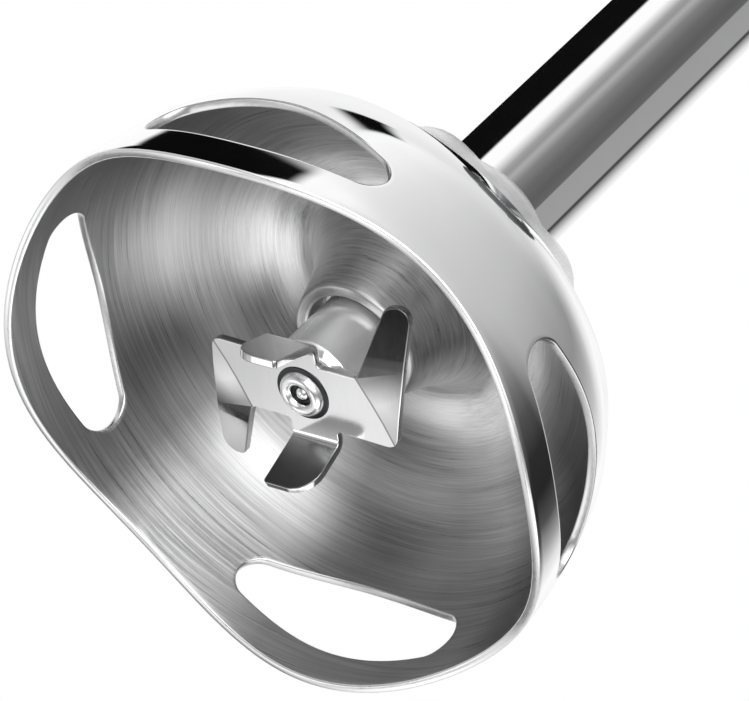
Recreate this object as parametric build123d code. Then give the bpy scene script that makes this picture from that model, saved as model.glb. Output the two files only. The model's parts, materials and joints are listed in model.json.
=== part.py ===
"""Immersion blender: steel foot with a spinning blade, and a motor unit on top.

Millimetres, +Z up, shaft axis on Z. z = 0 is the lowest point of the bell's
scalloped rim. Slots face +X, +Y, -X and -Y.
"""
from build123d import *
import os
from math import cos, pi, radians, sin, sqrt

# ---- bell guard ----
RIM_R = 37.5            # outer radius at the rim
WALL = 1.1              # sheet thickness of the bell
RIM_WAVE = 3.85         # how far the rim arches up between the slots
SHOULDER = ((37.5, -1.0), (37.3, 5.0), (36.1, 14.0), (34.6, 19.5), (31.8, 24.2), (25.25, 28.16))
# each row: height, radius at the diagonals, how much further out the lobes over the slots stand
CROWN = ((25.5, 24.6, 1.2), (28.16, 25.0, 1.5), (33.0, 19.6, 3.4), (38.0, 15.4, 3.9), (43.0, 11.4, 4.4), (46.2, 9.4, 1.6), (47.5, 9.2, 0.0))
CEILING = ((36.4, -2.0), (36.2, 5.0), (35.0, 14.0), (33.5, 19.1), (30.8, 23.3), (24.6, 27.2),
           (18.4, 31.2), (14.6, 31.6), (12.2, 29.2), (10.0, 25.0), (8.19, 19.63))
SLOT_FOOT = 4.95        # web between the rim and a slot
SLOT_TOP = 15.73        # top of a slot at its middle
SLOT_ARCH = 5.06        # how far a slot's top edge falls towards the diagonals
SLOT_END = 25.75        # half the angle a slot spans
SLOT_SKEW = 1.75        # how far a slot's middle is turned from its axis
SLOT_ROUND = 3.8        # angle taken by a slot's rounded end

# ---- boss, shaft and blade ----
BORE_R = 6.6            # bore of the boss
TUBE_R, TUBE_WALL = 8.7, 1.0
TUBE_Z = (38.5, 172.0)
SHAFT_R = 2.5
RUNNING = 0.05          # radial clearance of a running fit
BLADE_Z, BLADE_T = 8.94, 1.0
HUB_R = 5.85
WING_DROP = 72          # bend of the two short wings, degrees down
WING_LEN = 7.9
WING_RISE = 8           # bend of the two swept wings, degrees up

# ---- motor unit ----
JOIN_Z = 190.0          # where the motor unit meets the foot
SPIGOT_R, SPIGOT_TOP = 16.0, 204.0
HOUSING = ((24.2, 190), (26.0, 205), (28.0, 235), (27.8, 272), (26.2, 300), (24.6, 330), (24.0, 358))
SHELL_T = 2.2
SLEEVE_T, SLEEVE_Z = 1.5, (272.0, 356.0)
CAP_Z = (358.0, 378.0)
DIAL_R, DIAL_TOP = 16.5, 390.0
BUTTON_R = 7.5
BUTTON_Z = {"power_button": 339.0, "turbo_button": 317.0}
RELEASE_R, RELEASE_Z = 4.2, 197.0
SCREWS = ((17.0, 227.5), (16.0, 298.0))

parts = {}


def turned(*rz):
    """Solid turned about Z from a closed outline of (radius, height) points."""
    return revolve(Plane.XZ * make_face(Polyline(*rz, close=True)), Axis.Z)


def ring(outer, inner, z0, z1):
    """Plain ring, or a disc where inner is 0."""
    return turned((inner, z0), (outer, z0), (outer, z1), (inner, z1))


def turned_under(curve):
    """Solid turned about Z, filling from the axis out to a curve of (radius, height) points."""
    top, low = curve[-1], curve[0]
    edge = Spline(*curve)
    rest = Polyline(top, (0, top[1]), (0, low[1]), low)
    return revolve(Plane.XZ * make_face(edge + rest), Axis.Z)


def around(shape, count):
    """The shape repeated about Z."""
    return [Rot(0, 0, 360 / count * i) * shape for i in range(count)]


def block(x, y, z):
    """Box between two limits on each axis."""
    size = [b - a for a, b in (x, y, z)]
    return Pos(*[(a + b) / 2 for a, b in (x, y, z)]) * Box(*size)


def rod_y(r, x, z, y0, y1):
    """Cylinder that lies along Y."""
    return Pos(x, (y0 + y1) / 2, z) * Rot(90, 0, 0) * Cylinder(r, abs(y1 - y0))


def rod_x(r, z, x0, x1):
    """Cylinder that lies along X."""
    return Pos((x0 + x1) / 2, 0, z) * Rot(0, 90, 0) * Cylinder(r, abs(x1 - x0))


def rim_height(angle):
    """Height of the rim at an angle in degrees."""
    return RIM_WAVE * (1 - cos(radians(4 * angle))) / 2


# ---- foot ----
def lobed(z, radius, lobe):
    """Cross-section of the crown: a circle with a lobe towards each slot."""
    points = []
    for i in range(48):
        a = 2 * pi * i / 48
        r = radius + lobe * ((1 + cos(4 * a)) / 2) ** 1.5
        points.append((r * cos(a), r * sin(a)))
    return Pos(0, 0, z) * make_face(Spline(*points, periodic=True))


def slot_cutter():
    """Cutter for the slot that faces +X."""
    low, high = [], []
    steps = 24
    for i in range(steps + 1):
        a = SLOT_END * sin(pi / 2 * (2 * i / steps - 1))
        place = a + SLOT_SKEW
        foot = SLOT_FOOT + rim_height(place)
        top = SLOT_TOP - SLOT_ARCH * (1 - cos(radians(4 * place))) / 2
        past = max(0.0, (abs(a) - SLOT_END + SLOT_ROUND) / SLOT_ROUND)
        half = (top - foot) / 2 * sqrt(max(0.0, 1 - past * past))
        y = (RIM_R - WALL) * sin(radians(place))
        low.append((y, (top + foot) / 2 - half))
        high.append((y, (top + foot) / 2 + half))
    outline = low + high[-2:0:-1]
    return Pos(25, 0, 0) * extrude(Plane.YZ * make_face(Polyline(*outline, close=True)), 20)


def rim_cutter():
    """Cutter for the rim's arch between two slots, along +X."""
    arch = []
    for i in range(25):
        a = 90 * i / 24
        arch.append((RIM_R * sin(radians(a - 45)), rim_height(a)))
    outline = Polyline((arch[0][0], -3), *arch, (arch[-1][0], -3), close=True)
    return Pos(14, 0, 0) * extrude(Plane.YZ * make_face(outline), 34)


def make_foot():
    """Bell, tube, bearings and the collar that plugs into the motor unit."""
    bell = turned_under(SHOULDER) + loft([lobed(*row) for row in CROWN])
    bell -= turned_under(CEILING)
    bell -= ring(RIM_R + 2, 0, -2.5, 0)
    for cut in around(Rot(0, 0, 45) * rim_cutter(), 4) + around(slot_cutter(), 4):
        bell -= cut
    bell -= ring(BORE_R, 0, 15, 40) + ring(TUBE_R, 0, TUBE_Z[0], 50)
    parts["bell_guard"] = bell
    parts["shaft_tube"] = ring(TUBE_R, TUBE_R - TUBE_WALL, *TUBE_Z)
    parts["seal_retainer"] = ring(BORE_R, HUB_R + 0.2, 23.2, 24.4)
    run = SHAFT_R + RUNNING
    parts["lip_seal"] = turned((run, 25.4), (4.2, 25.0), (BORE_R, 25.0), (BORE_R, 29.5), (3.6, 29.5), (run, 26.4))
    parts["lower_bush"] = ring(BORE_R, run, 30.0, 38.5)
    inside = TUBE_R - TUBE_WALL
    parts["bearing_carrier"] = ring(inside, 4.6, 158.0, 172.0)
    parts["upper_bush"] = ring(4.6, run, 158.0, 173.0)
    collar = turned((TUBE_R, 160), (11.4, 160), (13.4, 168), (20.5, 181), (23.6, 187), (24.0, JOIN_Z),
                    (SPIGOT_R, JOIN_Z), (SPIGOT_R, 195.5), (14.6, 195.5), (14.6, 197.5), (SPIGOT_R, 197.5),
                    (SPIGOT_R, SPIGOT_TOP - 1), (15.0, SPIGOT_TOP), (12.0, SPIGOT_TOP), (12.0, 175.5),
                    (6.0, 175.5), (6.0, 173.5), (TUBE_R, 173.5))
    for key in around(Rot(0, 0, 90) * block((14.5, 17.5), (-1.5, 1.5), (199.0, 210.0)), 3):
        collar -= key
    parts["foot_collar"] = collar
    parts["spigot_seal"] = ring(SPIGOT_R + 0.25, 14.6, 195.5, 197.5)
    parts["collar_ring"] = turned((TUBE_R, 156.5), (10.2, 156.5), (11.4, 157.6), (11.4, 160), (TUBE_R, 160))


def swept_wing():
    """Wing of the blade that reaches down -Y and sweeps back towards -X."""
    lead, trail = Vector(4.6, -12.3, 0), Vector(-4.2, -8.2, 0)
    along = (lead - trail).normalized()
    fold = Plane(origin=trail + Vector(0, 0, BLADE_Z), x_dir=along, z_dir=(0, 0, 1))
    outline = []
    for x, y in ((4.6, -12.3), (3.4, -12.8), (-12.9, -15.9), (-14.4, -15.2), (-14.2, -13.4), (-13.2, -12.5), (-4.2, -8.2)):
        local = fold.to_local_coords(Vector(x, y, BLADE_Z))
        outline.append((local.X, local.Y))
    wing = extrude(make_face(Polyline(*outline, close=True)), BLADE_T)
    return fold * (Rot(-WING_RISE, 0, 0) * wing)


def dropped_wing():
    """Wing of the blade that hangs from the -X side of its plate."""
    width = (-2.7, 3.93)
    outline = make_face(Polyline((0, width[0]), (WING_LEN, width[0]), (WING_LEN, 1.2), (WING_LEN - 0.8, 2.9),
                                 (WING_LEN - 2.6, width[1]), (0, width[1]), close=True))
    wing = Pos(-5.87, 0, BLADE_Z) * Rot(0, 180 - WING_DROP, 0) * extrude(outline, -BLADE_T)
    corner = rod_y(BLADE_T, -5.87, BLADE_Z, *width) & block((-8, 0), (-5, 5), (BLADE_Z, BLADE_Z + 2))
    return wing + corner


def make_blade_drive():
    """Blade, hub and the shaft that turns them."""
    half = extrude(make_face(Polyline((-5.87, -2.7), (-4.2, -2.7), (-4.2, -8.2), (4.6, -12.3), (4.6, 0),
                                      (0, 3.9), (-4.6, 3.93), (-5.87, 3.93), close=True)), BLADE_T)
    half = Pos(0, 0, BLADE_Z) * half + swept_wing() + dropped_wing()
    blade = half + Rot(0, 0, 180) * half
    parts["blade"] = blade - ring(SHAFT_R, 0, 0, 20)
    top = BLADE_Z + BLADE_T
    parts["blade_hub"] = turned((SHAFT_R, top), (4.9, top), (HUB_R, top + 1.3), (HUB_R, 23.2), (4.9, 24.2), (SHAFT_R, 24.2))
    shaft = turned((0, BLADE_Z - 0.3), (1.7, BLADE_Z - 1.0), (2.9, BLADE_Z - 1.15), (3.6, BLADE_Z - 0.7), (3.6, BLADE_Z),
                   (SHAFT_R, BLADE_Z), (SHAFT_R, 188), (0, 188))
    groove = ring(4, 2.1, 39.8, 40.6)
    parts["drive_shaft"] = shaft - groove
    parts["thrust_washer"] = ring(5.6, SHAFT_R, 38.9, 39.8)
    parts["shaft_circlip"] = ring(4.2, 2.1, 39.8, 40.6) - block((1, 6), (-0.9, 0.9), (39, 41))
    dog = ring(5.0, SHAFT_R, 176.5, 184.0) + ring(3.6, SHAFT_R, 184.0, 192.0)
    for rib in around(block((2.9, 5.6), (-1.4, 1.4), (184.0, 192.0)), 4):
        dog += rib
    parts["driven_dog"] = dog


# ---- motor unit ----
def housing(inset):
    """Solid inside the housing's outer curve, less an even inset."""
    return turned_under([(r - inset, z) for r, z in HOUSING])


def make_housing():
    """Two half shells, grip, button panel, cap, socket, gland and screws."""
    bore = housing(SLEEVE_T + SHELL_T)
    body = housing(0) - bore
    band = (housing(0) - housing(SLEEVE_T)) & ring(40, 0, *SLEEVE_Z)
    body -= band
    window = block((-10.5, 10.5), (-40, 0), (302.0, 353.0))
    holes = [rod_y(BUTTON_R + 0.3, 0, z, -40, -8) for z in BUTTON_Z.values()]
    ports = [rod_x(RELEASE_R + 0.3, RELEASE_Z, 10, 40), rod_x(RELEASE_R + 0.3, RELEASE_Z, -40, -10)]
    vents = [Rot(0, 0, a) * block((18, 40), (-1.1, 1.1), (209.5, 217.5)) for a in range(9, 369, 18)]
    for cut in holes + ports + vents:
        body -= cut
    front = body & block((-40, 40), (-40, 0), (180, 370))
    rear = body & block((-40, 40), (0, 40), (180, 370))
    screws = []
    for x, z in SCREWS:
        for side in (-1, 1):
            post = rod_y(3.6, side * x, z, -16, 16) & housing(SLEEVE_T + 0.3)
            front += (post & block((-40, 40), (-40, 0), (180, 370))) - rod_y(1.5, side * x, z, -9, 0)
            rear += post & block((-40, 40), (0, 40), (180, 370))
            rear -= rod_y(1.5, side * x, z, 0, 12) + rod_y(2.9, side * x, z, 9, 40)
            screws.append(rod_y(1.5, side * x, z, -9, 9) + (rod_y(2.8, side * x, z, 9, 11.4)
                          - block((side * x - 2, side * x + 2), (10.6, 12), (z - 0.4, z + 0.4))))
    parts["front_shell"], parts["rear_shell"] = front, rear
    parts["housing_screws"] = Compound(screws)
    grip = band - window
    for x, z in SCREWS[1:]:
        for side in (-1, 1):
            grip -= rod_y(2.9, side * x, z, 9, 40)
    parts["grip_sleeve"] = grip
    parts["button_panel"] = (band & block((-10.3, 10.3), (-40, 0), (302.2, 352.8))) - holes[0] - holes[1]
    socket = (bore & ring(40, 0, JOIN_Z + 0.2, 206.5)) - ring(SPIGOT_R + 0.4, 0, 180, 204.4) - ring(9.3, 0, 200, 210)
    for cut in ports:
        socket -= cut
    for key in around(Rot(0, 0, 90) * block((15.4, 17.2), (-1.1, 1.1), (200.0, 204.4)), 3):
        socket += key
    parts["coupling_socket"] = socket
    low, high = CAP_Z
    cap = turned((0, high), (17.6, high), (20.6, high - 1.6), (22.8, high - 6), (23.8, low + 4), (24.0, low), (21.4, low),
                 (20.4, high - 6), (18.6, high - 2.6), (0, high - 2.6))
    cap -= ring(3.4, 0, 370, 380)
    parts["top_cap"] = cap - rod_y(5.6, 0, 366.5, 10, 40)
    parts["cord_gland"] = (rod_y(5.6, 0, 366.5, 18.5, 25.5) + rod_y(7.2, 0, 366.5, 24.2, 31.0)) - rod_y(3.6, 0, 366.5, 10, 40)


def make_motor():
    """Stator, rotor, brushes and their bearings."""
    stator = ring(22.0, 18.4, 238, 262)
    for pole in around(block((0, 19.2), (-7.5, 7.5), (238, 262)), 2):
        stator += pole - ring(13.2, 0, 230, 270)
    parts["motor_stator"] = stator
    coils = []
    for turn in (0, 180):
        coil = block((14.6, 18.2), (-11.0, 11.0), (232, 268)) - block((14, 19), (-7.6, 7.6), (237.9, 262.1))
        coils.append(Rot(0, 0, turn) * (coil & ring(18.3, 0, 230, 270)))
    parts["field_coils"] = Compound(coils)
    parts["motor_cushions"] = Compound([ring(24.0, 22.0, 240, 244), ring(24.0, 22.0, 256, 260)])
    for name, z in (("lower_bearing_plate", 219.5), ("upper_bearing_plate", 286.0)):
        plate = ring(22.4, 6.5, z, z + 2.5) + ring(9.0, 6.5, z, z + 6)
        for gap in around(Pos(15.5, 0, z) * Cylinder(3.2, 10), 6):
            plate -= gap
        parts[name] = plate
    for name, z in (("lower_motor_bearing", 219.5), ("upper_motor_bearing", 286.0)):
        parts[name] = ring(6.5, 3.05, z, z + 6)
    holders, brushes = [], []
    for turn in (0, 180):
        tube = block((9.0, 20.0), (-3.6, 3.6), (273.5, 281.5)) - block((8, 18.6), (-2.4, 2.4), (274.7, 280.3))
        holders.append(Rot(0, 0, turn) * tube)
        brushes.append(Rot(0, 0, turn) * (block((6.5, 15.5), (-2.4, 2.4), (274.7, 280.3)) - ring(7.6, 0, 270, 285)))
    parts["brush_holders"], parts["carbon_brushes"] = Compound(holders), Compound(brushes)
    parts["motor_shaft"] = ring(3.0, 0, 194.5, 294.0)
    core = ring(12.6, 3.0, 236, 264)
    for notch in around(block((9.5, 14), (-0.9, 0.9), (230, 270)), 12):
        core -= notch
    parts["armature_core"] = core
    bundle = [turned((3.6, z0), (9.4, z0), (11.6, z0 + 1.5), (11.6, z1 - 1.5), (9.4, z1), (3.6, z1)) for z0, z1 in ((228.5, 236), (264, 270.5))]
    parts["armature_windings"] = Compound(bundle)
    bars = ring(7.5, 3.0, 272.5, 283)
    for gap in around(block((6.7, 8), (-0.25, 0.25), (272, 284)), 12):
        bars -= gap
    parts["commutator"] = bars
    fan = ring(5.0, 3.0, 208.5, 217.0) + ring(18.5, 3.0, 208.5, 210.0)
    for vane in around(Pos(11.4, 0, 213) * Rot(0, 0, 28) * Box(14, 1.2, 7.5), 9):
        fan += vane & ring(18.5, 3.2, 208.5, 217)
    parts["cooling_fan"] = fan
    dog = ring(8.5, 0, 185.2, 206.0) - ring(4.1, 0, 185.0, 192.8) - ring(3.0, 0, 194.5, 210)
    for groove in around(block((3.0, 6.1), (-1.9, 1.9), (185.0, 192.8)), 4):
        dog -= groove
    parts["driving_dog"] = dog


def make_controls():
    """Buttons, dial, board and the switches behind them."""
    parts["circuit_board"] = block((-15, 15), (-8.5, -6.9), (306, 350))
    for name, z in BUTTON_Z.items():
        face = rod_y(BUTTON_R, 0, z, -27.2, -19.4)
        face = fillet(face.edges().sort_by(Axis.Y)[:1], 1.2)
        parts[name] = face + rod_y(2.0, 0, z, -19.4, -13.0)
        parts[name.replace("button", "switch")] = block((-5, 5), (-15.4, -8.5), (z - 4, z + 4)) - rod_y(2.3, 0, z, -16, -10.5)
    for name, side in (("left_release", -1), ("right_release", 1)):
        button = fillet(rod_x(RELEASE_R, RELEASE_Z, side * 18.4, side * 27.4).edges().sort_by(Axis.X)[:1] if side < 0 else
                        rod_x(RELEASE_R, RELEASE_Z, side * 18.4, side * 27.4).edges().sort_by(Axis.X)[-1:], 1.0)
        parts[name] = button
    parts["speed_sensor"] = ring(8.0, 3.4, 366, 373) + block((-9, 9), (-4, -3.6), (366, 373))
    dial = turned((0, 378.4), (DIAL_R, 378.4), (DIAL_R, DIAL_TOP - 2.4), (DIAL_R - 1, DIAL_TOP - 0.8),
                  (DIAL_R - 2.6, DIAL_TOP), (0, DIAL_TOP))
    for flute in around(Pos(DIAL_R + 0.7, 0, 384) * Cylinder(1.3, 14), 30):
        dial -= flute
    dial -= block((-0.8, 0.8), (-12.5, -6.0), (DIAL_TOP - 0.5, DIAL_TOP + 1))
    parts["speed_dial"] = dial + ring(3.0, 0, 366.5, 378.4)


if __name__ == "__main__":
    make_foot()
    make_blade_drive()
    make_housing()
    make_motor()
    make_controls()
    os.makedirs("parts", exist_ok=True)
    for name, shape in parts.items():
        export_step(shape, f"parts/{name}.step")
    print(len(parts), "nodes")
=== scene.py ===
"""Immersion blender: finished surfaces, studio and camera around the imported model.

The part's own frame is used throughout: +Z runs up the shaft, the bell's slots
face +X, +Y, -X and -Y, and the buttons face -Y. Sizes are in millimetres and
MM turns them into Blender's metres.
"""
from __future__ import annotations

import json
import logging
import math
from dataclasses import dataclass
from enum import Enum
from typing import Callable, Sequence

import bmesh
import bpy
from mathutils import Matrix, Vector

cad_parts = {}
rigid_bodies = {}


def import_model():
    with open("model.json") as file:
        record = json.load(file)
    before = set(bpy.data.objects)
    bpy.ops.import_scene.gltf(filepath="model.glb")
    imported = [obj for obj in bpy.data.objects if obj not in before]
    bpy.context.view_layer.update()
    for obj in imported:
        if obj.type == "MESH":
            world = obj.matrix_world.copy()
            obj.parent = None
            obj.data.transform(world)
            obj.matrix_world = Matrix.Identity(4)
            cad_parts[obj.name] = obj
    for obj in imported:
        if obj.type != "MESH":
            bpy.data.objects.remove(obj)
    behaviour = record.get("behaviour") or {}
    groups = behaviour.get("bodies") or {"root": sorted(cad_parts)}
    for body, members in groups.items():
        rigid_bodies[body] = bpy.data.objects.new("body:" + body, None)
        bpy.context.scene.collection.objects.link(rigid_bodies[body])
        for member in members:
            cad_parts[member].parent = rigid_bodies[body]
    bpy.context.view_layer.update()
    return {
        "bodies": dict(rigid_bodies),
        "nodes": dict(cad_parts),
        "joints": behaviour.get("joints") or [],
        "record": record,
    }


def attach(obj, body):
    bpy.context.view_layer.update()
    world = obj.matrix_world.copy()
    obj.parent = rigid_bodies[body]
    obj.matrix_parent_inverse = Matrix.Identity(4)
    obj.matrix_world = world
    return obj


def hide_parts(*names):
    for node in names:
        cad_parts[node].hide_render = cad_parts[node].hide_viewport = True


MM = 0.001
LOG = logging.getLogger("immersion_blender")
WING_LEAD = (4.6, -12.3)
WING_TRAIL = (-4.2, -8.2)
Point = tuple[float, float]
Socket = bpy.types.NodeSocket


# ---------------------------------------------------------------- small maths
class Curve:
    """Smooth curve through (radius, height) points, walked by length or by height."""

    def __init__(self, points: Sequence[Sequence[float]], fineness: int = 60) -> None:
        """Args:
            points: knots of the curve, each a tuple of one or more numbers.
            fineness: steps between two knots.
        """
        self.path = [Vector(p) for p in self._through([Vector(p) for p in points], fineness)]
        self.run = [0.0]
        for a, b in zip(self.path, self.path[1:]):
            self.run.append(self.run[-1] + (b - a).length)

    @staticmethod
    def _through(knots: list[Vector], fineness: int) -> list[Vector]:
        """Cubic pieces whose slope at each knot follows its two neighbours."""
        gaps = [(b - a).length for a, b in zip(knots, knots[1:])]
        slopes = []
        for i, knot in enumerate(knots):
            if i == 0:
                slopes.append((knots[1] - knot) / gaps[0])
            elif i == len(knots) - 1:
                slopes.append((knot - knots[i - 1]) / gaps[-1])
            else:
                before, after = (knot - knots[i - 1]) / gaps[i - 1], (knots[i + 1] - knot) / gaps[i]
                slopes.append((before * gaps[i] + after * gaps[i - 1]) / (gaps[i] + gaps[i - 1]))
        path = []
        for i, gap in enumerate(gaps):
            for k in range(fineness):
                t = k / fineness
                path.append((2 * t**3 - 3 * t**2 + 1) * knots[i] + (t**3 - 2 * t**2 + t) * gap * slopes[i]
                            + (3 * t**2 - 2 * t**3) * knots[i + 1] + (t**3 - t**2) * gap * slopes[i + 1])
        return path + [knots[-1]]

    def _between(self, values: list[float], value: float) -> Vector:
        """Point of the path at which a rising row of values reaches a value.

        Args:
            values: one number for each point of the path, never falling.
            value: the number to find.
        Returns:
            The point there, between two points of the path.
        """
        low, high = 0, len(values) - 1
        while high - low > 1:
            middle = (low + high) // 2
            low, high = (middle, high) if values[middle] <= value else (low, middle)
        span = values[high] - values[low]
        return self.path[low].lerp(self.path[high], (value - values[low]) / span if span else 0.0)

    def along(self, share: float) -> Vector:
        """Point at a share of the whole length, from 0 to 1."""
        return self._between(self.run, share * self.run[-1])

    def radius_at(self, height: float) -> float:
        """Radius at a height, for a curve that starts out rising."""
        top = next((i for i in range(1, len(self.path)) if self.path[i].y < self.path[i - 1].y), len(self.path))
        return self._between([p.y for p in self.path[:top]], height).x

    def share_at(self, height: float) -> float:
        """Share of the length at which a rising curve reaches a height."""
        for i, p in enumerate(self.path):
            if p.y >= height:
                return self.run[i] / self.run[-1]
        return 1.0


def rounded(corners: Sequence[tuple[float, float, float]], steps: int = 6) -> list[Point]:
    """Outline with its corners turned into arcs.

    Args:
        corners: (x, y, radius) of each corner in order.
        steps: straight pieces in each arc.
    Returns:
        The points of the rounded outline.
    """
    outline = []
    for i, (x, y, radius) in enumerate(corners):
        here = Vector((x, y))
        back = (Vector(corners[i - 1][:2]) - here).normalized()
        ahead = (Vector(corners[(i + 1) % len(corners)][:2]) - here).normalized()
        half = back.angle(ahead) / 2
        reach = radius / math.tan(half)
        centre = here + (back + ahead).normalized() * radius / math.sin(half)
        start, end = here + back * reach - centre, here + ahead * reach - centre
        turn = start.angle_signed(end)
        for k in range(steps + 1):
            arm = Matrix.Rotation(-turn * k / steps, 2) @ start
            outline.append(tuple(centre + arm))
    return outline


# ---------------------------------------------------------------- node work
class Graph:
    """Short way to lay out a node tree."""

    def __init__(self, tree: bpy.types.NodeTree) -> None:
        """Keeps the tree that nodes are added to."""
        self.tree = tree

    def add(self, kind: str, **settings: object) -> bpy.types.Node:
        """New node of a kind, with its settings."""
        node = self.tree.nodes.new(kind)
        for key, value in settings.items():
            setattr(node, key, value)
        return node

    def join(self, source: Socket, target: Socket) -> None:
        """Link from an output to an input."""
        self.tree.links.new(source, target)

    def feed(self, socket: Socket, value: object) -> None:
        """Value or link into one input."""
        if isinstance(value, Socket):
            self.join(value, socket)
        else:
            socket.default_value = value

    def math(self, operation: str, *values: object) -> Socket:
        """Output of a Math node over numbers or sockets."""
        node = self.add("ShaderNodeMath", operation=operation)
        for socket, value in zip(node.inputs, values):
            self.feed(socket, value)
        return node.outputs[0]

    def noise(self, vector: Socket, scale: float, detail: float = 2.0, w: object = None) -> Socket:
        """Noise value over a vector."""
        node = self.add("ShaderNodeTexNoise", noise_dimensions="3D" if w is None else "4D")
        self.join(vector, node.inputs["Vector"])
        node.inputs["Scale"].default_value = scale
        node.inputs["Detail"].default_value = detail
        if w is not None:
            self.feed(node.inputs["W"], w)
        return node.outputs[0]

    def remap(self, value: Socket, low: float, high: float, to_low: float, to_high: float,
              smooth: bool = False) -> Socket:
        """Clamped change of range."""
        node = self.add("ShaderNodeMapRange", interpolation_type="SMOOTHSTEP" if smooth else "LINEAR")
        self.join(value, node.inputs["Value"])
        for socket, number in zip(node.inputs[1:5], (low, high, to_low, to_high)):
            socket.default_value = number
        return node.outputs[0]

    def window(self, value: Socket, low: float, high: float, soft: float) -> Socket:
        """1 between two limits and 0 outside them, with soft borders."""
        rising = self.remap(value, low - soft, low + soft, 0.0, 1.0, True)
        return self.math("MULTIPLY", rising, self.remap(value, high - soft, high + soft, 1.0, 0.0, True))

    def ramp(self, value: Socket, stops: Sequence[Point]) -> Socket:
        """Grey ramp over (place, brightness) stops."""
        node = self.add("ShaderNodeValToRGB")
        self.join(value, node.inputs[0])
        elements = node.color_ramp.elements
        while len(elements) < len(stops):
            elements.new(0.5)
        for element, (place, grey) in zip(elements, stops):
            element.position = place
            element.color = (grey, grey, grey, 1)
        return node.outputs[0]

    def blend(self, share: object, first: object, second: object) -> Socket:
        """Colour mixed from two, by share."""
        node = self.add("ShaderNodeMix", data_type="RGBA")
        self.feed(node.inputs[0], share)
        self.feed(node.inputs[6], first)
        self.feed(node.inputs[7], second)
        return node.outputs[2]

    def axes(self, kind: str = "Object") -> tuple[Socket, ...]:
        """X, Y and Z of a kind of texture coordinates."""
        place = self.add("ShaderNodeSeparateXYZ")
        self.join(self.add("ShaderNodeTexCoord").outputs[kind], place.inputs[0])
        return tuple(place.outputs)

    def radius(self, x: Socket, y: Socket) -> Socket:
        """Distance from the shaft axis."""
        return self.math("SQRT", self.math("ADD", self.math("MULTIPLY", x, x), self.math("MULTIPLY", y, y)))

    def scaled(self, vector: Socket, amount: object) -> Socket:
        """Vector times a number."""
        node = self.add("ShaderNodeVectorMath", operation="SCALE")
        self.join(vector, node.inputs[0])
        self.feed(node.inputs["Scale"], amount)
        return node.outputs[0]

    def one_sided(self, shader: Socket) -> Socket:
        """Shader that shows on the front of a face only."""
        mix = self.add("ShaderNodeMixShader")
        self.join(self.add("ShaderNodeNewGeometry").outputs["Backfacing"], mix.inputs[0])
        self.join(shader, mix.inputs[1])
        self.join(self.add("ShaderNodeBsdfTransparent").outputs[0], mix.inputs[2])
        return mix.outputs[0]


class Effect(Enum):
    """Surface effects that several finishes share, each built once as a node group."""

    TURNED = "turned_lines"
    DRAWN = "drawn_lines"
    HANDLING = "handling_marks"
    MOULDED = "moulded_grain"

    def group(self) -> bpy.types.NodeTree:
        """The effect's node group, built on first use."""
        tree = bpy.data.node_groups.get(self.value)
        if tree is None:
            tree = bpy.data.node_groups.new(self.value, "ShaderNodeTree")
            tree.interface.new_socket("Fineness", in_out="INPUT", socket_type="NodeSocketFloat").default_value = 1.0
            tree.interface.new_socket("Mask", in_out="OUTPUT", socket_type="NodeSocketFloat")
            tree.interface.new_socket("Broad", in_out="OUTPUT", socket_type="NodeSocketFloat")
            graph = Graph(tree)
            builder = {Effect.TURNED: _turned, Effect.DRAWN: _drawn, Effect.HANDLING: _handling,
                       Effect.MOULDED: _moulded}[self]
            marks = builder(graph, graph.add("NodeGroupInput").outputs[0])
            for mark, target in zip(marks, graph.add("NodeGroupOutput").inputs):
                graph.join(mark, target)
        return tree


def _turned(graph: Graph, fineness: Socket) -> list[Socket]:
    """Fine and broad lines left by turning about the shaft axis."""
    x, y, z = graph.axes()
    radius = graph.radius(x, y)
    safe = graph.math("MAXIMUM", radius, 0.0001)
    east, north = graph.math("DIVIDE", x, safe), graph.math("DIVIDE", y, safe)
    marks = []
    for across, around in ((5200.0, 3.2), (1500.0, 1.8)):
        fine = graph.math("MULTIPLY", fineness, across)
        vector = graph.add("ShaderNodeCombineXYZ")
        for socket, value, scale in zip(vector.inputs, (radius, z, east), (fine, fine, around)):
            graph.join(graph.math("MULTIPLY", value, scale), socket)
        lines = graph.noise(vector.outputs[0], 1.0, 3.0, graph.math("MULTIPLY", north, around))
        marks.append(graph.remap(lines, 0.32, 0.68, 0.0, 1.0))
    return marks


def _drawn(graph: Graph, fineness: Socket) -> list[Socket]:
    """Fine and broad lines left by rolling and polishing along X."""
    place = graph.add("ShaderNodeTexCoord").outputs["Object"]
    marks = []
    for scale in ((260.0, 7000.0, 7000.0), (90.0, 700.0, 700.0)):
        stretch = graph.add("ShaderNodeVectorMath", operation="MULTIPLY")
        graph.join(place, stretch.inputs[0])
        stretch.inputs[1].default_value = scale
        marks.append(graph.remap(graph.noise(graph.scaled(stretch.outputs[0], fineness), 1.0), 0.3, 0.7, 0.0, 1.0))
    return marks


def _handling(graph: Graph, fineness: Socket) -> list[Socket]:
    """Faint smears and wiped patches on a handled surface."""
    fine = graph.scaled(graph.add("ShaderNodeTexCoord").outputs["Object"], fineness)
    return [graph.remap(graph.noise(fine, 240.0, 5.0), 0.42, 0.7, 0.0, 1.0),
            graph.remap(graph.noise(fine, 38.0, 2.0), 0.3, 0.7, 0.0, 1.0)]


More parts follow.
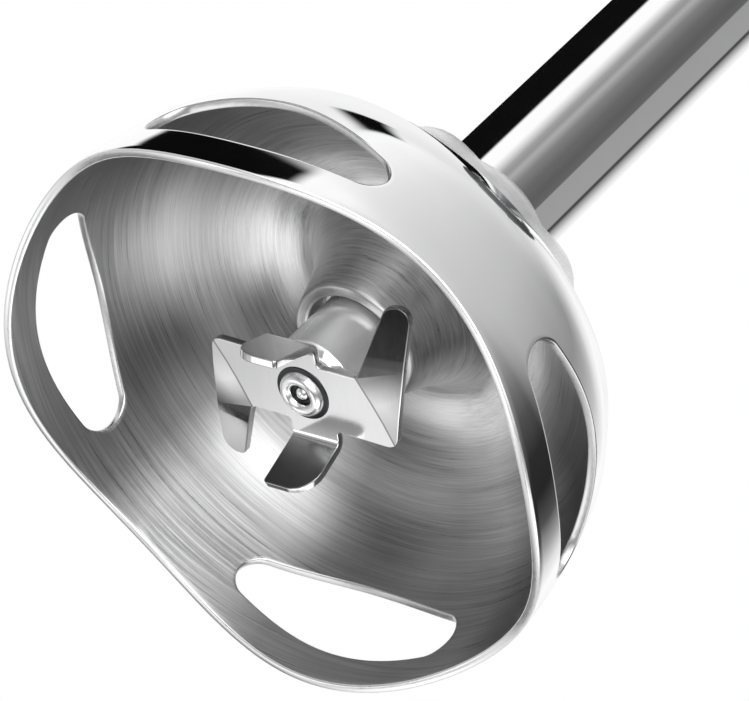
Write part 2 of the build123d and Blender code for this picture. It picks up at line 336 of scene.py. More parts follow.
def _moulded(graph: Graph, fineness: Socket) -> list[Socket]:
    """Spark-eroded grain that a mould leaves on plastic or rubber."""
    fine = graph.scaled(graph.add("ShaderNodeTexCoord").outputs["Object"], fineness)
    cells = graph.add("ShaderNodeTexVoronoi", feature="SMOOTH_F1")
    graph.join(fine, cells.inputs["Vector"])
    cells.inputs["Scale"].default_value = 2600.0
    grain = graph.noise(fine, 1900.0, 3.0)
    mask = graph.math("ADD", graph.math("MULTIPLY", cells.outputs[0], 0.6), graph.math("MULTIPLY", grain, 0.6))
    return [mask, graph.remap(graph.noise(fine, 60.0, 2.0), 0.3, 0.7, 0.0, 1.0)]


@dataclass(frozen=True)
class Finish:
    """One material: a colour, a shine and an effect that breaks both up, with painted light and shade multiplied
    into the colour where a finish has them.
    """

    name: str
    colour: tuple[float, float, float]
    roughness: float
    metallic: float = 1.0
    effect: Effect = Effect.HANDLING
    fineness: float = 1.0
    roughness_spread: float = 0.04
    shade_spread: float = 0.03
    relief: float = 0.0
    coat: float = 0.0
    anisotropic: float = 0.0
    turn: float = 0.0
    painted_light: Callable[[Graph], Socket] | None = None

    def material(self) -> bpy.types.Material:
        """The finish as a material, built on first use."""
        label = f"{self.name}_finish"
        made = bpy.data.materials.get(label)
        if made is not None:
            return made
        made = bpy.data.materials.new(label)
        made.use_nodes = True
        graph = Graph(made.node_tree)
        shader = made.node_tree.nodes["Principled BSDF"]
        shader.inputs["Metallic"].default_value = self.metallic
        shader.inputs["Coat Weight"].default_value = self.coat
        shader.inputs["Coat Roughness"].default_value = 0.12
        effect = graph.add("ShaderNodeGroup", node_tree=self.effect.group())
        effect.inputs[0].default_value = self.fineness
        marks = graph.math("ADD", graph.math("MULTIPLY", effect.outputs[0], 0.6),
                           graph.math("MULTIPLY", effect.outputs[1], 0.4))
        low, high = max(0.01, self.roughness - self.roughness_spread), self.roughness + self.roughness_spread
        graph.join(graph.remap(marks, 0.0, 1.0, low, high), shader.inputs["Roughness"])
        dark = tuple(c * (1 - self.shade_spread) for c in self.colour) + (1.0,)
        light = tuple(min(1.0, c * (1 + self.shade_spread)) for c in self.colour) + (1.0,)
        shade = graph.blend(marks, dark, light)
        # Painted light: painted shade, sheen and reflection multiplied into the colour.
        if self.painted_light is not None:
            painted_light_mix = graph.add("ShaderNodeVectorMath", operation="MULTIPLY")
            graph.join(shade, painted_light_mix.inputs[0])
            graph.join(self.painted_light(graph), painted_light_mix.inputs[1])
            shade = painted_light_mix.outputs[0]
        graph.join(shade, shader.inputs["Base Color"])
        if self.relief:
            bump = graph.add("ShaderNodeBump")
            bump.inputs["Strength"].default_value = 1.0
            bump.inputs["Distance"].default_value = self.relief * MM
            graph.join(effect.outputs[0], bump.inputs["Height"])
            graph.join(bump.outputs[0], shader.inputs["Normal"])
        if self.anisotropic:
            shader.inputs["Anisotropic"].default_value = self.anisotropic
            shader.inputs["Anisotropic Rotation"].default_value = self.turn
            graph.join(graph.add("ShaderNodeTangent", direction_type="RADIAL", axis="Z").outputs[0],
                       shader.inputs["Tangent"])
        return made


def spot(graph: Graph) -> tuple[Socket, ...]:
    """Object coordinates in millimetres, axis by axis."""
    return tuple(graph.math("DIVIDE", axis, MM) for axis in graph.axes())


def painted_bell_gloss(graph: Graph) -> Socket:
    """Painted reflection: broad fans of gloss painted into the colour of the turned inside, by bearing and by
    distance from the shaft.
    """
    x, y, _ = spot(graph)
    share = graph.math("FRACT", graph.math("DIVIDE", graph.math("ARCTAN2", y, x), math.tau))
    radius = graph.radius(x, y)
    # Painted reflection brightness by bearing, near the boss and at the wall.
    boss = graph.ramp(share, [(bearing / 360, shade) for bearing, shade in (
        (0, 0.8), (60, 0.65), (90, 0.7), (120, 0.6), (135, 0.85), (150, 1.0), (165, 0.95), (180, 0.7),
        (195, 0.45), (208, 0.38), (228, 0.36), (240, 0.36), (255, 0.7), (270, 1.0), (288, 1.0), (300, 0.75),
        (315, 0.55), (330, 0.6), (345, 0.8), (360, 0.8))])
    wall = graph.ramp(share, [(bearing / 360, shade) for bearing, shade in (
        (0, 0.6), (75, 0.55), (90, 0.45), (103, 0.2), (120, 0.12), (135, 0.22), (150, 0.45), (165, 0.36),
        (180, 0.42), (195, 0.46), (205, 0.8), (215, 1.0), (228, 0.95), (238, 0.5), (255, 0.48), (270, 0.6),
        (285, 0.48), (300, 0.33), (315, 0.24), (330, 0.3), (345, 0.46), (360, 0.6))])
    return graph.blend(graph.remap(radius, 17.0, 27.0, 0.0, 1.0, True), boss, wall)


def painted_wing_sheen(graph: Graph) -> Socket:
    """Painted sheen that falls off along each swept wing, with a fine painted dark line of shade where the wing is
    bent.
    """
    x, y, _ = spot(graph)
    side = graph.math("SIGN", y)
    along = (Vector(WING_LEAD) - Vector(WING_TRAIL)).normalized()
    out = Vector((-along.y, along.x))

    def distance(way: Vector) -> Socket:
        """Distance from the shaft along a way that turns with the wing."""
        flat = graph.math("ADD", graph.math("MULTIPLY", x, way.x), graph.math("MULTIPLY", y, way.y))
        return graph.math("MULTIPLY", side, flat)

    reach = graph.math("ADD", distance(along), along.dot(Vector(WING_LEAD)))
    beyond = graph.math("ADD", distance(out), out.dot(Vector(WING_TRAIL)))
    # Painted sheen along each swept wing, and a painted gradient of sheen across the plate.
    wing = graph.ramp(graph.math("DIVIDE", reach, 20.0), [
        (0.0, 0.62), (0.12, 0.72), (0.28, 0.95), (0.36, 0.75), (0.44, 0.46), (0.6, 0.34), (0.8, 0.2)])
    plate = graph.remap(graph.math("SUBTRACT", y, x), -14.0, 10.0, 0.7, 1.0, True)
    painted_light = graph.blend(graph.remap(beyond, -0.1, 0.25, 0.0, 1.0, True), plate, wing)
    # Painted shade: a fine dark line along each bend.
    return graph.blend(graph.math("MULTIPLY", graph.window(beyond, -0.1, 0.15, 0.08), 0.7), painted_light,
                       (0.1, 0.1, 0.1, 1.0))


def painted_fold_sheen(graph: Graph) -> Socket:
    """Painted sheen of a bent-down wing: a painted highlight at its fold and painted shade towards its end."""
    return graph.ramp(graph.math("DIVIDE", spot(graph)[2], 10.0),
                      [(0.12, 0.2), (0.45, 0.4), (0.75, 0.75), (0.9, 1.0)])


MIRROR = Finish("mirror_polished_steel", (0.9, 0.9, 0.905), 0.05, roughness_spread=0.02, shade_spread=0.01)
TUBE = Finish("polished_tube_steel", (0.9, 0.9, 0.905), 0.06, roughness_spread=0.02, shade_spread=0.01)
CROWN = Finish("softly_polished_crown", (0.95, 0.95, 0.955), 0.42, 0.75, roughness_spread=0.04)
RIM = Finish("ground_rim", (0.9, 0.9, 0.905), 0.3, effect=Effect.TURNED, roughness_spread=0.05)
EDGE = Finish("satin_sheared_edge", (0.66, 0.66, 0.665), 0.3, effect=Effect.MOULDED, fineness=0.8,
              roughness_spread=0.08, shade_spread=0.15,
              relief=0.02)
# Turned steel of the inside, with painted reflection fans multiplied into its colour.
INSIDE = Finish("turned_steel", (0.8, 0.8, 0.806), 0.34, effect=Effect.TURNED, fineness=1.7, roughness_spread=0.09,
                shade_spread=0.34,
                relief=0.004, anisotropic=0.8, turn=0.25, painted_light=painted_bell_gloss)
# Blade steel with painted sheen and painted shade multiplied into its colour.
BLADE = Finish("blade_steel", (0.9, 0.9, 0.905), 0.12, effect=Effect.DRAWN, roughness_spread=0.03, shade_spread=0.04,
               painted_light=painted_wing_sheen)
# Darker copy of the blade steel with painted shade, for the inward faces of the bent wings.
SHADED_WING_STEEL = Finish("shaded_blade_steel", (0.62, 0.62, 0.625), 0.2, effect=Effect.DRAWN, shade_spread=0.06,
                     painted_light=painted_fold_sheen)
RIVET = Finish("spun_rivet_steel", (0.92, 0.92, 0.925), 0.22, 0.9, roughness_spread=0.03)
# Painted shade for the two recessed rings of the rivet head.
RECESS_SHADE = Finish("painted_recess_shade", (0.06, 0.06, 0.064), 0.35, roughness_spread=0.08, shade_spread=0.2)
HUB = Finish("polished_hub_steel", (0.97, 0.97, 0.975), 0.16, 0.7, roughness_spread=0.03)
SLOT_FINISH: dict[str, Finish] = {
    "mirror_steel": MIRROR, "tube_steel": TUBE, "blade_steel": BLADE, "brushed_steel": INSIDE,
    "bronze": Finish("sintered_bronze", (0.5, 0.33, 0.17), 0.42, roughness_spread=0.08, shade_spread=0.12),
    "seal_rubber": Finish("seal_rubber", (0.018, 0.018, 0.019), 0.55, 0.0, Effect.MOULDED, relief=0.01),
    "grip_rubber": Finish("grip_rubber", (0.022, 0.023, 0.025), 0.62, 0.0, Effect.MOULDED, 0.7, relief=0.05,
                          roughness_spread=0.07, shade_spread=0.1),
    "shell_plastic": Finish("shell_plastic", (0.05, 0.052, 0.057), 0.4, 0.0, Effect.MOULDED, 1.0, relief=0.02,
                            shade_spread=0.06),
    "cap_plastic": Finish("cap_plastic", (0.035, 0.036, 0.04), 0.3, 0.0, Effect.MOULDED, 1.2, relief=0.01,
                          shade_spread=0.05),
    "button_plastic": Finish("button_plastic", (0.46, 0.47, 0.49), 0.3, 0.0, Effect.MOULDED, 1.4, relief=0.008,
                             shade_spread=0.04),
    "panel_plastic": Finish("panel_plastic", (0.012, 0.012, 0.013), 0.12, 0.0, coat=0.6, roughness_spread=0.03),
    "inner_plastic": Finish("inner_plastic", (0.68, 0.66, 0.6), 0.45, 0.0, Effect.MOULDED, relief=0.02,
                            shade_spread=0.06),
    "copper": Finish("wound_copper", (0.62, 0.23, 0.1), 0.34, 1.0, Effect.TURNED, 0.25, 0.1, 0.25, relief=0.08),
    "core_steel": Finish("laminated_core", (0.2, 0.2, 0.21), 0.48, 1.0, Effect.TURNED, 0.3, 0.1, 0.2, relief=0.05),
    "carbon": Finish("brush_carbon", (0.03, 0.03, 0.032), 0.55, 0.2, Effect.MOULDED, relief=0.02),
    "brass": Finish("brush_holder_brass", (0.72, 0.5, 0.2), 0.3, roughness_spread=0.1, shade_spread=0.1),
    "zinc_steel": Finish("zinc_plated_steel", (0.6, 0.61, 0.64), 0.3, roughness_spread=0.1, shade_spread=0.08),
    "board": Finish("lacquered_board", (0.015, 0.11, 0.045), 0.3, 0.0, Effect.MOULDED, 0.5, coat=0.4),
    "aluminium": Finish("cast_aluminium", (0.68, 0.68, 0.7), 0.42, 1.0, Effect.MOULDED, 0.5, relief=0.03,
                        shade_spread=0.1),
}


# ---------------------------------------------------------------- modelling moves
class Bench:
    """Modelling moves that every piece shares."""

    @staticmethod
    def clear() -> None:
        """Nothing selected and no edit mode."""
        if bpy.context.object and bpy.context.object.mode != "OBJECT":
            bpy.ops.object.mode_set(mode="OBJECT")
        bpy.ops.object.select_all(action="DESELECT")

    @staticmethod
    def loop(name: str, outline: Sequence[Sequence[float]], fill: str = "NOTHING") -> bpy.types.Object:
        """Circle whose corners are moved onto an outline of 2-D or 3-D points, left open or filled."""
        Bench.clear()
        bpy.ops.mesh.primitive_circle_add(vertices=len(outline), radius=MM, fill_type=fill)
        piece = bpy.context.object
        piece.name = piece.data.name = name
        for vertex, point in zip(piece.data.vertices, outline):
            vertex.co = Vector(point).to_3d() * MM
        return piece

    @staticmethod
    def spun(name: str, outline: Sequence[Point], steps: int = 128) -> bpy.types.Object:
        """Closed (radius, height) outline spun about the shaft axis.

        Args:
            name: name of the piece.
            outline: corners of the section, in millimetres.
            steps: sides of the full turn.
        Returns:
            The turned piece.
        """
        piece = Bench.loop(name, [(r, 0.0, z) for r, z in outline])
        bpy.ops.object.mode_set(mode="EDIT")
        bpy.ops.mesh.select_all(action="SELECT")
        bpy.ops.mesh.spin(steps=steps, angle=2 * math.pi, center=(0, 0, 0), axis=(0, 0, 1))
        bpy.ops.mesh.select_all(action="SELECT")
        bpy.ops.mesh.remove_doubles(threshold=1e-6)
        bpy.ops.mesh.delete_loose(use_verts=True, use_edges=True, use_faces=False)
        bpy.ops.mesh.select_all(action="SELECT")
        bpy.ops.mesh.normals_make_consistent(inside=False)
        bpy.ops.object.mode_set(mode="OBJECT")
        return piece

    @staticmethod
    def soften(piece: bpy.types.Object, width: float, segments: int = 3, angle: float = 32.0) -> None:
        """Rounds the piece's sharp edges and evens its shading.

        Args:
            piece: mesh object.
            width: width of the rounding in millimetres, or 0 for none.
            segments: steps across the rounding.
            angle: edges sharper than this many degrees are rounded.
        """
        Bench.clear()
        bpy.context.view_layer.objects.active = piece
        piece.select_set(True)
        bpy.ops.object.shade_smooth()
        if width:
            bevel = piece.modifiers.new("rounding", "BEVEL")
            bevel.width, bevel.segments = width * MM, segments
            bevel.limit_method, bevel.angle_limit = "ANGLE", math.radians(angle)
            bpy.ops.object.modifier_apply(modifier=bevel.name)
        even = piece.modifiers.new("even", "WEIGHTED_NORMAL")
        even.keep_sharp = True
        bpy.ops.object.modifier_apply(modifier=even.name)

    @staticmethod
    def hand_over(piece: bpy.types.Object, body: str, slot: str, replaced: Sequence[str], *finishes: Finish) -> None:
        """Dresses a finished piece and fixes it to its body.

        Args:
            piece: finished mesh object.
            body: CAD body that it moves with.
            slot: material slot of the record that it belongs to; not used.
            replaced: CAD nodes that it stands for.
            finishes: one finish for each of its material slots.
        """
        for finish in finishes:
            piece.data.materials.append(finish.material())
        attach(piece, body)
        if replaced:
            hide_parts(*replaced)
        LOG.info("%s rides on %s", piece.name, body)


class Skin:
    """Mesh sewn together from rectangular sheets of faces that share their borders."""

    def __init__(self, name: str) -> None:
        """Starts an empty skin with the piece's name."""
        self.name = name
        self.mesh = bmesh.new()

    def sheet(self, columns: int, rows: int, place: Callable[[int, int], Vector], finish: int) -> None:
        """Adds a sheet of faces.

        Args:
            columns: faces along the sheet.
            rows: faces across it.
            place: gives the corner (column, row) in millimetres.
            finish: material index of its faces.
        """
        corners = [[self.mesh.verts.new(place(i, j) * MM) for j in range(rows + 1)] for i in range(columns + 1)]
        for i in range(columns):
            for j in range(rows):
                face = self.mesh.faces.new((corners[i][j], corners[i + 1][j], corners[i + 1][j + 1],
                                            corners[i][j + 1]))
                face.material_index = finish
                face.smooth = True

    def sewn(self) -> bpy.types.Object:
        """The finished object, with borders joined and faces pointing outwards."""
        bmesh.ops.remove_doubles(self.mesh, verts=self.mesh.verts, dist=2e-6)
        bmesh.ops.recalc_face_normals(self.mesh, faces=self.mesh.faces)
        data = bpy.data.meshes.new(self.name)
        self.mesh.to_mesh(data)
        self.mesh.free()
        piece = bpy.data.objects.new(self.name, data)
        bpy.context.scene.collection.objects.link(piece)
        return piece


# ---------------------------------------------------------------- foot
@dataclass
class BellGuard:
    """Bell with a scalloped rim, four side slots, a lobed crown and a bearing boss."""

    wall: float = 1.1
    rim_wave: float = 3.85
    slot_foot: float = 4.95
    slot_top: float = 15.73
    slot_arch: float = 5.06
    slot_end: float = 25.75
    slot_skew: float = 1.75
    slot_round: float = 3.8
    slot_radius: float = 36.5
    band_top: float = 18.0
    edge_round: float = 0.22
    shoulder_low: float = 22.0
    shoulder_rise: float = 6.1
    shoulder_puff: float = 1.5
    groove_gap: float = 0.012
    rib: float = 0.6
    rib_radius: float = 17.0
    rib_width: float = 8.5
    boss_gap: float = 0.006
    side_steps: int = 16
    long_steps: int = 40
    band_rows: int = 18
    dome_rows: int = 31
    ceiling_rows: int = 56
    ring_spread: tuple[float, ...] = (0.0, 0.04, 0.1, 0.18, 0.28, 0.4, 0.54, 0.7, 0.85, 1.0)
    outer: tuple[Point, ...] = ((37.5, -1.0), (37.3, 5.0), (36.1, 14.0), (34.6, 19.5), (31.8, 24.2), (25.25, 28.16))
    groove: tuple[Point, ...] = ((25.28, 28.1), (25.1, 28.12), (25.0, 28.0), (24.85, 28.05))
    crown: tuple[tuple[float, float, float], ...] = (
        (24.8, 28.3, 1.5), (19.6, 33.0, 3.4), (15.4, 38.0, 3.9), (11.4, 43.0, 4.4), (9.4, 46.2, 1.6),
        (9.2, 47.5, 0.0))
    neck: tuple[Point, ...] = ((8.98, 47.5), (8.74, 47.3), (8.72, 44.0))
    inner: tuple[Point, ...] = ((36.4, -2.0), (36.2, 5.0), (35.0, 14.0), (33.5, 19.1), (30.8, 23.3), (24.6, 27.2),
                                (18.4, 31.2), (14.6, 31.6), (12.2, 29.2), (10.0, 25.0), (8.19, 19.63))
    boss: tuple[Point, ...] = ((8.1, 19.5), (7.9, 19.42), (7.0, 19.42), (6.7, 19.5), (6.6, 19.7), (6.6, 24.0),
                               (6.6, 30.0), (6.6, 38.4), (8.72, 38.5), (8.72, 44.0))

    def __post_init__(self) -> None:
        """Prepares the profiles, the rounding of cut edges and the length of a degree at the slots."""
        self.outside, self.ceiling, self.dome = Curve(self.outer), Curve(self.inner), Curve(self.crown)
        self.degree = math.radians(1) * self.slot_radius
        thin = self.edge_round / self.wall
        self.rounding = ((1.0, 0.0), (0.3, 0.3 * thin), (0.0, thin), (0.0, 0.5), (0.0, 1 - thin),
                         (0.3, 1 - 0.3 * thin), (1.0, 1.0))

    def rim(self, angle: float) -> float:
        """Height of the rim at an angle in degrees."""
        return self.rim_wave * (1 - math.cos(math.radians(4 * angle))) / 2

    def wall_point(self, angle: float, height: float, depth: float) -> Vector:
        """Point in the side wall; depth runs from 0 outside to 1 inside."""
        radius = self.outside.radius_at(height) * (1 - depth) + self.ceiling.radius_at(height) * depth
        return Matrix.Rotation(math.radians(angle), 3, "Z") @ Vector((radius, 0, height))

    def slot_point(self, step: int) -> Point:
        """(angle, height) of a step around a slot's edge, from its lower left corner."""
        flat, side = self.long_steps, self.side_steps
        reach = self.slot_end - self.slot_round
        step %= 2 * (flat + side)
        if step <= flat:
            angle, up = reach * (2 * step / flat - 1), -1.0
        elif step < flat + side:
            swing = math.pi * ((step - flat) / side - 0.5)
            angle, up = reach + self.slot_round * math.cos(swing), math.sin(swing)
        elif step <= 2 * flat + side:
            angle, up = reach * (1 - 2 * (step - flat - side) / flat), 1.0
        else:
            swing = math.pi * (0.5 - (step - 2 * flat - side) / side)
            angle, up = -reach - self.slot_round * math.cos(swing), math.sin(swing)
        angle += self.slot_skew
        foot = self.slot_foot + self.rim(angle)
        top = self.slot_top - self.slot_arch * (1 - math.cos(math.radians(4 * angle))) / 2
        return angle, (foot + top) / 2 + (top - foot) / 2 * up

    def panel_point(self, step: int) -> Point:
        """(angle, height) of a step around the quarter of wall that holds a slot."""
        flat, side = self.long_steps, self.side_steps
        step %= 2 * (flat + side)
        low = self.rim(45) + self.edge_round
        if step <= flat:
            angle = 90 * step / flat - 45
            return angle, self.rim(angle) + self.edge_round
        if step < flat + side:
            return 45.0, low + (self.band_top - low) * (step - flat) / side
        if step <= 2 * flat + side:
            return 45 - 90 * (step - flat - side) / flat, self.band_top
        return -45.0, self.band_top - (self.band_top - low) * (step - 2 * flat - side) / side

    def ring_point(self, quarter: int, step: int, ring: int, depth: float) -> Vector:
        """Corner of the rings that spread from a slot's edge to its panel's border."""
        (angle, height), (edge_angle, edge_height) = self.slot_point(step), self.panel_point(step)
        away = Vector(((edge_angle - angle) * self.degree, edge_height - height))
        start = away.normalized() * self.edge_round
        shift = start + (away - start) * self.ring_spread[ring]
        return self.wall_point(quarter * 90 + angle + shift.x / self.degree, height + shift.y, depth)

    def slot_edge(self, quarter: int, step: int, row: int) -> Vector:
        """Corner of the rounded edge that runs through a slot's wall."""
        offset, depth = self.rounding[row]
        (angle, height), (edge_angle, edge_height) = self.slot_point(step), self.panel_point(step)
        away = Vector(((edge_angle - angle) * self.degree, edge_height - height)).normalized()
        shift = away * self.edge_round * offset
        return self.wall_point(quarter * 90 + angle + shift.x / self.degree, height + shift.y, depth)

    def column(self, index: int) -> float:
        """Angle of a column of faces above the slots."""
        return 90 * index / self.long_steps - 45

    def rim_point(self, index: int, row: int) -> Vector:
        """Corner of the rounded rim."""
        lift, depth = self.rounding[row]
        angle = self.column(index)
        return self.wall_point(angle, self.rim(angle) + lift * self.edge_round, depth)

    def outer_point(self, index: int, row: int) -> Vector:
        """Corner of the polished outside from the slots up to the tube."""
        angle = self.column(index)
        lobe = ((1 + math.cos(math.radians(4 * angle))) / 2) ** 1.5
        dome_row = self.band_rows + len(self.groove) + 1
        neck_row = dome_row + self.dome_rows + 1
        if row <= self.band_rows:
            start, stop = self.outside.share_at(self.band_top), 1 - self.groove_gap
            radius, height = self.outside.along(start + (stop - start) * row / self.band_rows)
            if row == 0:
                radius, height = self.outside.radius_at(self.band_top), self.band_top
            rise = min(1.0, max(0.0, height - self.shoulder_low) / self.shoulder_rise)
            radius += self.shoulder_puff * lobe * rise * rise * (3 - 2 * rise)
        elif row < dome_row:
            radius, height = self.groove[row - self.band_rows - 1]
            radius += self.shoulder_puff * lobe
        elif row < neck_row:
            radius, height, puff = self.dome.along((row - dome_row) / self.dome_rows)
            radius += lobe * puff
        else:
            radius, height = self.neck[row - neck_row]
        return Matrix.Rotation(math.radians(angle), 3, "Z") @ Vector((radius, 0, height))

    def inner_point(self, index: int, row: int) -> Vector:
        """Corner of the turned inside from the slots over the ceiling and down the boss."""
        angle = self.column(index)
        if row <= self.ceiling_rows:
            start, stop = self.ceiling.share_at(self.band_top), 1 - self.boss_gap
            radius, height = self.ceiling.along(start + (stop - start) * row / self.ceiling_rows)
            if row == 0:
                radius, height = self.ceiling.radius_at(self.band_top), self.band_top
            dip = ((1 - math.cos(math.radians(4 * angle))) / 2) ** 2
            window = max(0.0, 1 - abs(radius - self.rib_radius) / self.rib_width)
            height -= self.rib * dip * window * window * (3 - 2 * window)
        else:
            radius, height = self.boss[row - self.ceiling_rows - 1]
        return Matrix.Rotation(math.radians(angle), 3, "Z") @ Vector((radius, 0, height))

    def build(self) -> None:
        """Sews the bell and hands it over."""
        skin = Skin("bell_guard_shell")
        outside, inside, edge, rim, crown = range(5)
        around, whole = 2 * (self.long_steps + self.side_steps), 4 * self.long_steps
        rings, steps = len(self.ring_spread) - 1, len(self.rounding) - 1
        crown_rows = len(self.groove) + self.dome_rows + 1 + len(self.neck)
        for quarter in range(4):
            skin.sheet(around, rings, lambda i, j, q=quarter: self.ring_point(q, i, j, 0.0), outside)
            skin.sheet(around, rings, lambda i, j, q=quarter: self.ring_point(q, i, j, 1.0), inside)
            skin.sheet(around, steps, lambda i, j, q=quarter: self.slot_edge(q, i, j), edge)
        skin.sheet(whole, steps, self.rim_point, rim)
        skin.sheet(whole, self.band_rows, self.outer_point, outside)
        skin.sheet(whole, crown_rows, lambda i, j: self.outer_point(i, j + self.band_rows), crown)
        skin.sheet(whole, self.ceiling_rows + len(self.boss), self.inner_point, inside)
        Bench.hand_over(skin.sewn(), "foot", "mirror_steel", ["bell_guard"], MIRROR, INSIDE, EDGE, RIM, CROWN)


@dataclass
class Shaft:
    """Steel tube, the seal in the boss and the trim ring under the collar."""

    tube_radius: float = 8.7
    tube_wall: float = 1.0
    tube_low: float = 38.5
    tube_high: float = 172.0
    bore: float = 6.6

    def build(self) -> None:
        """Turns the pieces and hands them over."""
        inside = self.tube_radius - self.tube_wall
        tube = Bench.spun("polished_tube",
                          [(inside, self.tube_low), (self.tube_radius, self.tube_low), (self.tube_radius, 46.0),
                                            (self.tube_radius, 100.0), (self.tube_radius, self.tube_high),
                           (inside, self.tube_high)], 192)
        Bench.soften(tube, 0.15)
        Bench.hand_over(tube, "foot", "tube_steel", ["shaft_tube"], TUBE)
        lip = Bench.spun("seal_retaining_ring",
                         [(6.0, 23.35), (6.15, 23.2), (self.bore, 23.2), (self.bore, 24.4), (6.0, 24.4)])
        Bench.soften(lip, 0.08)
        Bench.hand_over(lip, "foot", "mirror_steel", ["seal_retainer"], HUB)
        seal = Bench.spun("shaft_lip_seal",
                          [(2.55, 25.5), (2.9, 25.2), (4.2, 25.0), (5.9, 25.0), (self.bore, 25.3), (self.bore, 29.5),
                           (3.6, 29.5), (2.55, 26.4)])
        Bench.soften(seal, 0.15)
        Bench.hand_over(seal, "foot", "seal_rubber", ["lip_seal"], SLOT_FINISH["seal_rubber"])
        trim = Bench.spun("collar_trim_ring",
                          [(self.tube_radius, 156.5), (10.0, 156.5), (11.1, 157.2), (11.4, 158.0), (11.4, 160.0),
                           (self.tube_radius, 160.0)])
        Bench.soften(trim, 0.2)
        Bench.hand_over(trim, "foot", "mirror_steel", ["collar_ring"], MIRROR)


@dataclass
class BladeDrive:
    """Four-winged blade on its hub, and the shaft that turns them."""

    sheet: float = 1.0
    middle: float = 9.44
    fold_at: float = 5.87
    drop: float = 72.0
    rise: float = 4.0
    twist: float = 0.55
    twist_reach: float = 19.0
    wing_side: float = 4.2
    fold_radius: float = 1.3
    half: tuple[tuple[float, float, float], ...] = (
        (-4.9, 12.4, 1.7), (-4.6, 3.93, 0.6), (-14.35, 3.93, 3.4), (-14.35, -2.7, 0.5), (-4.2, -2.7, 0.6),
        (-4.2, -8.2, 0.8), (-13.8, -12.6, 1.4), (-14.6, -16.2, 1.7))

    def bent(self, x: float, y: float) -> Vector:
        """Where a point of the flat sheet goes when its wing is bent."""
        side = -1 if x < 0 else 1
        past = abs(x) - self.fold_at
        if past > 0 and abs(y) < self.wing_side:
            limit = math.radians(self.drop)
            swing = min(past / self.fold_radius, limit)
            rest = past - swing * self.fold_radius
            out = self.fold_at + self.fold_radius * math.sin(swing) + rest * math.cos(limit)
            down = self.fold_radius * (1 - math.cos(swing)) + rest * math.sin(limit)
            return Vector((side * out, y, self.middle - down))
        lead, trail = Vector(WING_LEAD), Vector(WING_TRAIL)
        along = (lead - trail).normalized()
        turn = 1 if y < 0 else -1
        beyond = (Vector((x, y)) * turn - trail).dot(Vector((along.y, -along.x)))
        reach = (lead - Vector((x, y)) * turn).dot(along)
        angle = self.rise + self.twist * min(self.twist_reach, max(0.0, reach))
        lift = math.tan(math.radians(angle)) * max(0.0, beyond) if abs(y) > self.wing_side else 0.0
        return Vector((x, y, self.middle + lift))

    def build(self) -> None:
        """Cuts, bends and rounds the blade, then turns its hub and shaft."""
        corners = list(self.half) + [(-x, -y, r) for x, y, r in self.half]
        blade = Bench.loop("four_wing_blade", rounded(corners), "NGON")
        lead, trail = Vector(WING_LEAD).to_3d(), Vector(WING_TRAIL).to_3d()
        bpy.ops.object.mode_set(mode="EDIT")
        for side in (-1, 1):
            for step in range(6):
                bpy.ops.mesh.select_all(action="SELECT")
                place = side * (self.fold_at + step * self.fold_radius * math.radians(self.drop) / 5) * MM
                bpy.ops.mesh.bisect(plane_co=(place, 0, 0), plane_no=(1, 0, 0))
            bpy.ops.mesh.select_all(action="SELECT")
            bpy.ops.mesh.bisect(plane_co=trail * side * MM, plane_no=(trail.y - lead.y, lead.x - trail.x, 0))
        bpy.ops.object.mode_set(mode="OBJECT")
        for vertex in blade.data.vertices:
            vertex.co = self.bent(vertex.co.x / MM, vertex.co.y / MM) * MM
        thick = blade.modifiers.new("sheet", "SOLIDIFY")
        thick.thickness, thick.offset, thick.use_even_offset = self.sheet * MM, 0.0, True
        Bench.clear()
        bpy.context.view_layer.objects.active = blade
        bpy.ops.object.modifier_apply(modifier=thick.name)
        bpy.ops.object.mode_set(mode="EDIT")
        bpy.ops.mesh.select_all(action="SELECT")
        bpy.ops.mesh.normals_make_consistent(inside=False)
        bpy.ops.object.mode_set(mode="OBJECT")
        Bench.soften(blade, 0.16, 3, 40)
        # Inward faces of the bent wings take the darker copy of the blade steel, with painted shade.
        for face in blade.data.polygons:
            side = math.copysign(1.0, face.center.x)
            folded = abs(face.center.x) > (self.fold_at + 0.6) * MM and abs(face.center.y) < self.wing_side * MM
            face.material_index = int(folded and face.normal.x * side < -0.3)
        Bench.hand_over(blade, "blade_drive", "blade_steel", ["blade"], BLADE, SHADED_WING_STEEL)
        hub = Bench.spun("turned_hub",
                         [(2.5, 9.94), (4.9, 9.94), (4.9, 10.5), (5.85, 11.3), (5.85, 23.2), (4.9, 24.2),
                          (2.5, 24.2)])
        Bench.soften(hub, 0.2)
        Bench.hand_over(hub, "blade_drive", "mirror_steel", ["blade_hub"], HUB)
        shaft = Bench.spun("drive_shaft_and_rivet", [
            (0, 8.25), (0.45, 8.32), (0.8, 8.6), (0.95, 8.8), (1.3, 8.8), (1.4, 8.4), (1.6, 8.05),
            (1.95, 7.84), (2.3, 7.84), (2.65, 8.02), (2.9, 8.35), (3.0, 8.8), (3.45, 8.8), (3.6, 8.84),
            (3.6, 8.94), (2.5, 8.94), (2.5, 39.8), (2.1, 39.8), (2.1, 40.6), (2.5, 40.6), (2.5, 187.6),
            (2.1, 188.0), (0, 188.0)], 96)
        Bench.soften(shaft, 0.08)
        # The two recessed rings of the rivet head take the painted shade.
        for face in shaft.data.polygons:
            around = face.center.to_2d().length / MM
            face.material_index = int((0.85 < around < 1.36 or 2.95 < around < 3.62) and face.center.z < 8.95 * MM)
        Bench.hand_over(shaft, "blade_drive", "mirror_steel", ["drive_shaft"], RIVET, RECESS_SHADE)


@dataclass
class MotorUnit:
    """Finishes for the housing, its controls and the motor inside."""

    def build(self, frame: dict) -> None:
        """Dresses every CAD node that still shows.

        Args:
            frame: what the frame loader returned.
        """
        for part in frame["record"]["subparts"]:
            node = frame["nodes"][part["node"]]
            if node.hide_render:
                continue
            node.data.materials.clear()
            node.data.materials.append(SLOT_FINISH[part["material_slot"]].material())


